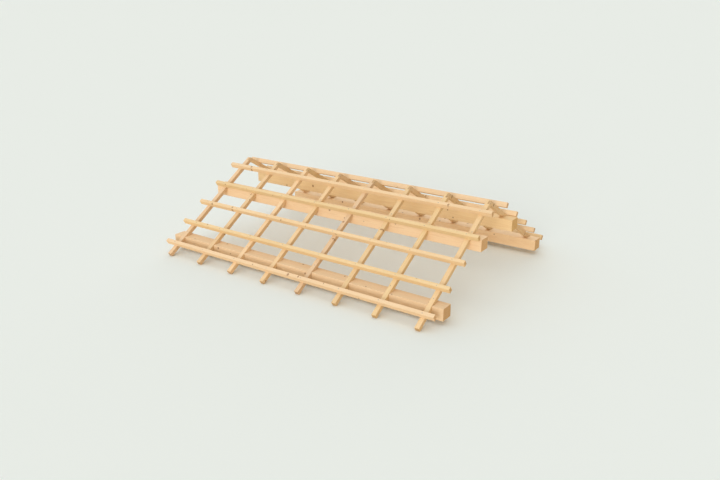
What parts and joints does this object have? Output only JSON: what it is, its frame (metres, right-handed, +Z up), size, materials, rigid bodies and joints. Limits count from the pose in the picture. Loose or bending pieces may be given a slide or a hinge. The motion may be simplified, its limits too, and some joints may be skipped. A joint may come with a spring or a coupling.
{
  "type": "wooden roof truss",
  "caption": "Timber gable roof frame: long purlins carry rafter couples let into them and half-lapped at the ridge, with tiling battens across the rafters.",
  "frame": {"origin": "middle of the frame's plan, at the level of the rafter tips that it stands on", "axes": "+X along the ridge, +Y across the span from the front slope to the back slope, +Z up"},
  "size_m": [4, 3.1322, 0.9986],
  "materials": {
    "purlin_timber": "sawn softwood",
    "rafter_timber": "sawn softwood",
    "batten_timber": "sawn softwood"
  },
  "bodies": {
    "root": {"front_wall_plate": "purlin_timber", "front_purlin": "purlin_timber", "front_rafter_1": "rafter_timber", "front_rafter_2": "rafter_timber", "front_rafter_3": "rafter_timber", "front_rafter_4": "rafter_timber", "front_rafter_5": "rafter_timber", "front_rafter_6": "rafter_timber", "front_rafter_7": "rafter_timber", "front_rafter_8": "rafter_timber", "front_batten_1": "batten_timber", "front_batten_2": "batten_timber", "front_batten_3": "batten_timber", "front_batten_4": "batten_timber", "front_batten_5": "batten_timber", "back_wall_plate": "purlin_timber", "back_purlin": "purlin_timber", "back_rafter_1": "rafter_timber", "back_rafter_2": "rafter_timber", "back_rafter_3": "rafter_timber", "back_rafter_4": "rafter_timber", "back_rafter_5": "rafter_timber", "back_rafter_6": "rafter_timber", "back_rafter_7": "rafter_timber", "back_rafter_8": "rafter_timber", "back_batten_1": "batten_timber", "back_batten_2": "batten_timber", "back_batten_3": "batten_timber", "back_batten_4": "batten_timber", "back_batten_5": "batten_timber"}
  },
  "joints": []
}
